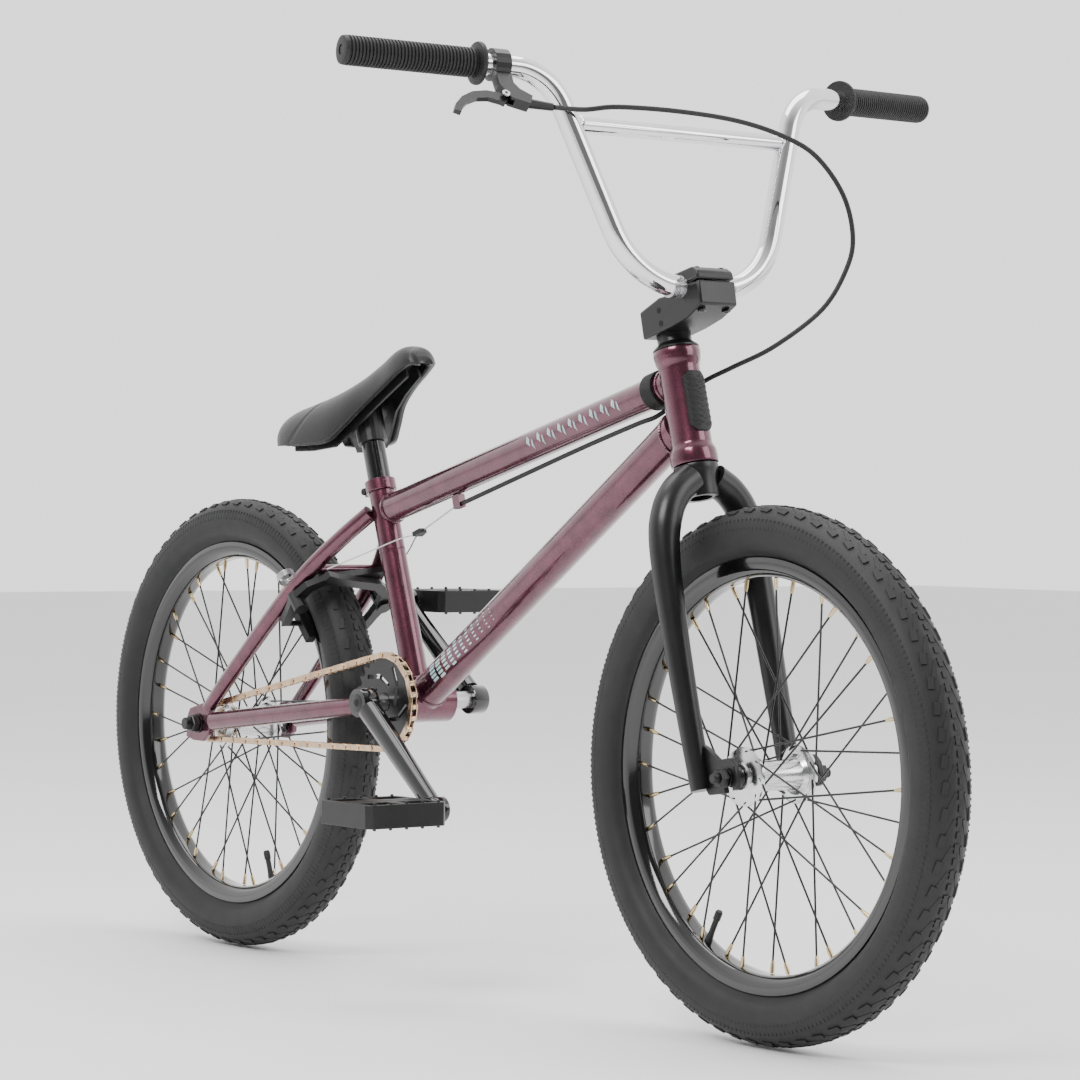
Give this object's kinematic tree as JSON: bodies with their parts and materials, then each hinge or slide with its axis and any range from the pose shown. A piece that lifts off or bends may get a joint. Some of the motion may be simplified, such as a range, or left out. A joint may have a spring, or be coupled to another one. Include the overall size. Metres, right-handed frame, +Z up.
{
  "type": "bmx bike",
  "caption": "BMX bike with a plum frame, chrome bars with a crossbar, black fork, stem and cranks, 20-inch spoked wheels, gold chain, and a rear U-brake with a cabled lever.",
  "frame": {"origin": "on the floor, under the middle of the whole bike, where the two tyres rest", "axes": "+X forwards along the bike, +Y to the rider's left, +Z up"},
  "size_m": [1.45, 0.7494, 0.9587],
  "materials": {
    "plum_paint": "glossy metallic plum",
    "chrome": "mirror chrome",
    "polished_aluminium": "polished",
    "steel": "bare steel",
    "satin_black": "satin black",
    "gloss_black": "gloss black",
    "black_plastic": "moulded black",
    "rubber": "matte black",
    "tyre_rubber": "matte black tread",
    "seat_cover": "grained black cover",
    "gold_chain": "pale gold plated"
  },
  "bodies": {
    "frame": {"bb_bearing_left": "steel", "bb_bearing_right": "steel", "bb_shell": "plum_paint", "brake_housing": "rubber", "cable_stop": "plum_paint", "chainstay_left": "plum_paint", "chainstay_right": "plum_paint", "down_tube": "plum_paint", "dropout_left": "plum_paint", "dropout_right": "plum_paint", "head_badge": "rubber", "head_tube": "plum_paint", "headset_bearing_lower": "steel", "headset_bearing_upper": "steel", "rear_axle": "satin_black", "seat_clamp": "plum_paint", "seat_tube": "plum_paint", "seatstay_bridge": "plum_paint", "seatstay_left": "plum_paint", "seatstay_right": "plum_paint", "top_tube": "plum_paint", "top_tube_strap": "rubber", "chain": "gold_chain"},
    "steering": {"fork_steerer": "satin_black", "fork_leg_right": "satin_black", "fork_leg_left": "satin_black", "headset_cap": "satin_black", "stem_body": "satin_black", "stem_cap": "satin_black", "handlebar": "chrome", "grip_right": "rubber", "grip_left": "rubber", "brake_lever_bracket": "satin_black", "front_axle": "satin_black"},
    "front_wheel": {"front_tyre": "tyre_rubber", "front_rim": "gloss_black", "front_hub": "polished_aluminium"},
    "rear_wheel": {"rear_tyre": "tyre_rubber", "rear_rim": "gloss_black", "rear_hub": "polished_aluminium"},
    "freewheel_driver": {"driver": "steel"},
    "crankset": {"crank_spindle": "steel", "crank_arm_right": "satin_black", "crank_arm_left": "satin_black", "sprocket": "satin_black", "pedal_axle_right": "steel", "pedal_axle_left": "steel"},
    "right_pedal": {"pedal_right": "black_plastic"},
    "left_pedal": {"pedal_left": "black_plastic"},
    "lever_blade": {"brake_lever": "satin_black"},
    "right_brake_arm": {"brake_arm_right": "satin_black", "brake_pad_right": "rubber"},
    "left_brake_arm": {"brake_arm_left": "satin_black", "brake_pad_left": "rubber"},
    "brake_hanger": {"cable_hanger": "satin_black", "straddle_wire": "steel", "brake_inner_wire": "steel"},
    "saddle": {"seat_post": "satin_black", "seat_base": "black_plastic", "seat_cover": "seat_cover"}
  },
  "joints": [
    {"name": "steering_turn", "type": "hinge", "parent": "frame", "child": "steering", "pos_m": [0.34739, 0, 0.55687], "axis": [-0.2672, 0, 0.9636], "range_deg": [-70, 70], "deforming": ["brake_housing"]},
    {"name": "front_wheel_spin", "type": "hinge", "parent": "steering", "child": "front_wheel", "pos_m": [0.465, 0, 0.26], "axis": [0, 1, 0], "continuous": true},
    {"name": "rear_wheel_spin", "type": "hinge", "parent": "frame", "child": "rear_wheel", "pos_m": [-0.465, 0, 0.26], "axis": [0, 1, 0], "continuous": true},
    {"name": "crank_spin", "type": "hinge", "parent": "frame", "child": "crankset", "pos_m": [-0.112, 0, 0.302], "axis": [0, 1, 0], "continuous": true, "deforming": ["chain"]},
    {"name": "driver_spin", "type": "hinge", "parent": "frame", "child": "freewheel_driver", "pos_m": [-0.465, 0, 0.26], "axis": [0, 1, 0], "continuous": true, "deforming": ["chain"]},
    {"name": "right_pedal_spin", "type": "hinge", "parent": "crankset", "child": "right_pedal", "pos_m": [0.02867, 0, 0.19791], "axis": [0, 1, 0], "continuous": true},
    {"name": "left_pedal_spin", "type": "hinge", "parent": "crankset", "child": "left_pedal", "pos_m": [-0.25267, 0, 0.40609], "axis": [0, 1, 0], "continuous": true},
    {"name": "lever_pull", "type": "hinge", "parent": "steering", "child": "lever_blade", "pos_m": [0.32543, -0.22431, 0.90253], "axis": [-0.7548, 0.129, -0.6431], "range_deg": [0, 20], "stiffness_Nm_per_rad": 0.35, "springref_deg": -17.19, "deforming": ["straddle_wire"]},
    {"name": "right_arm_swing", "type": "hinge", "parent": "frame", "child": "right_brake_arm", "pos_m": [-0.28236, -0.056, 0.4218], "axis": [0.6631, 0, -0.7485], "range_deg": [0, 2.3], "deforming": ["straddle_wire"]},
    {"name": "left_arm_swing", "type": "hinge", "parent": "frame", "child": "left_brake_arm", "pos_m": [-0.28236, 0.056, 0.4218], "axis": [-0.6631, 0, 0.7485], "range_deg": [0, 2.3], "deforming": ["straddle_wire"]},
    {"name": "hanger_pull", "type": "slide", "parent": "frame", "child": "brake_hanger", "axis": [0.9188, 0, 0.3948], "range_m": [0, 0.0046], "deforming": ["straddle_wire", "brake_inner_wire"]},
    {"name": "seat_height", "type": "slide", "parent": "frame", "child": "saddle", "axis": [-0.319, 0, 0.9478], "range_m": [-0.03, 0.06]}
  ],
  "couplings": [
    {"joint": "driver_spin", "follows": "crank_spin", "ratio": 2.7778},
    {"joint": "right_arm_swing", "follows": "lever_pull", "ratio": 0.115},
    {"joint": "left_arm_swing", "follows": "lever_pull", "ratio": 0.115},
    {"joint": "hanger_pull", "follows": "lever_pull", "m_per_rad": 0.0131}
  ]
}
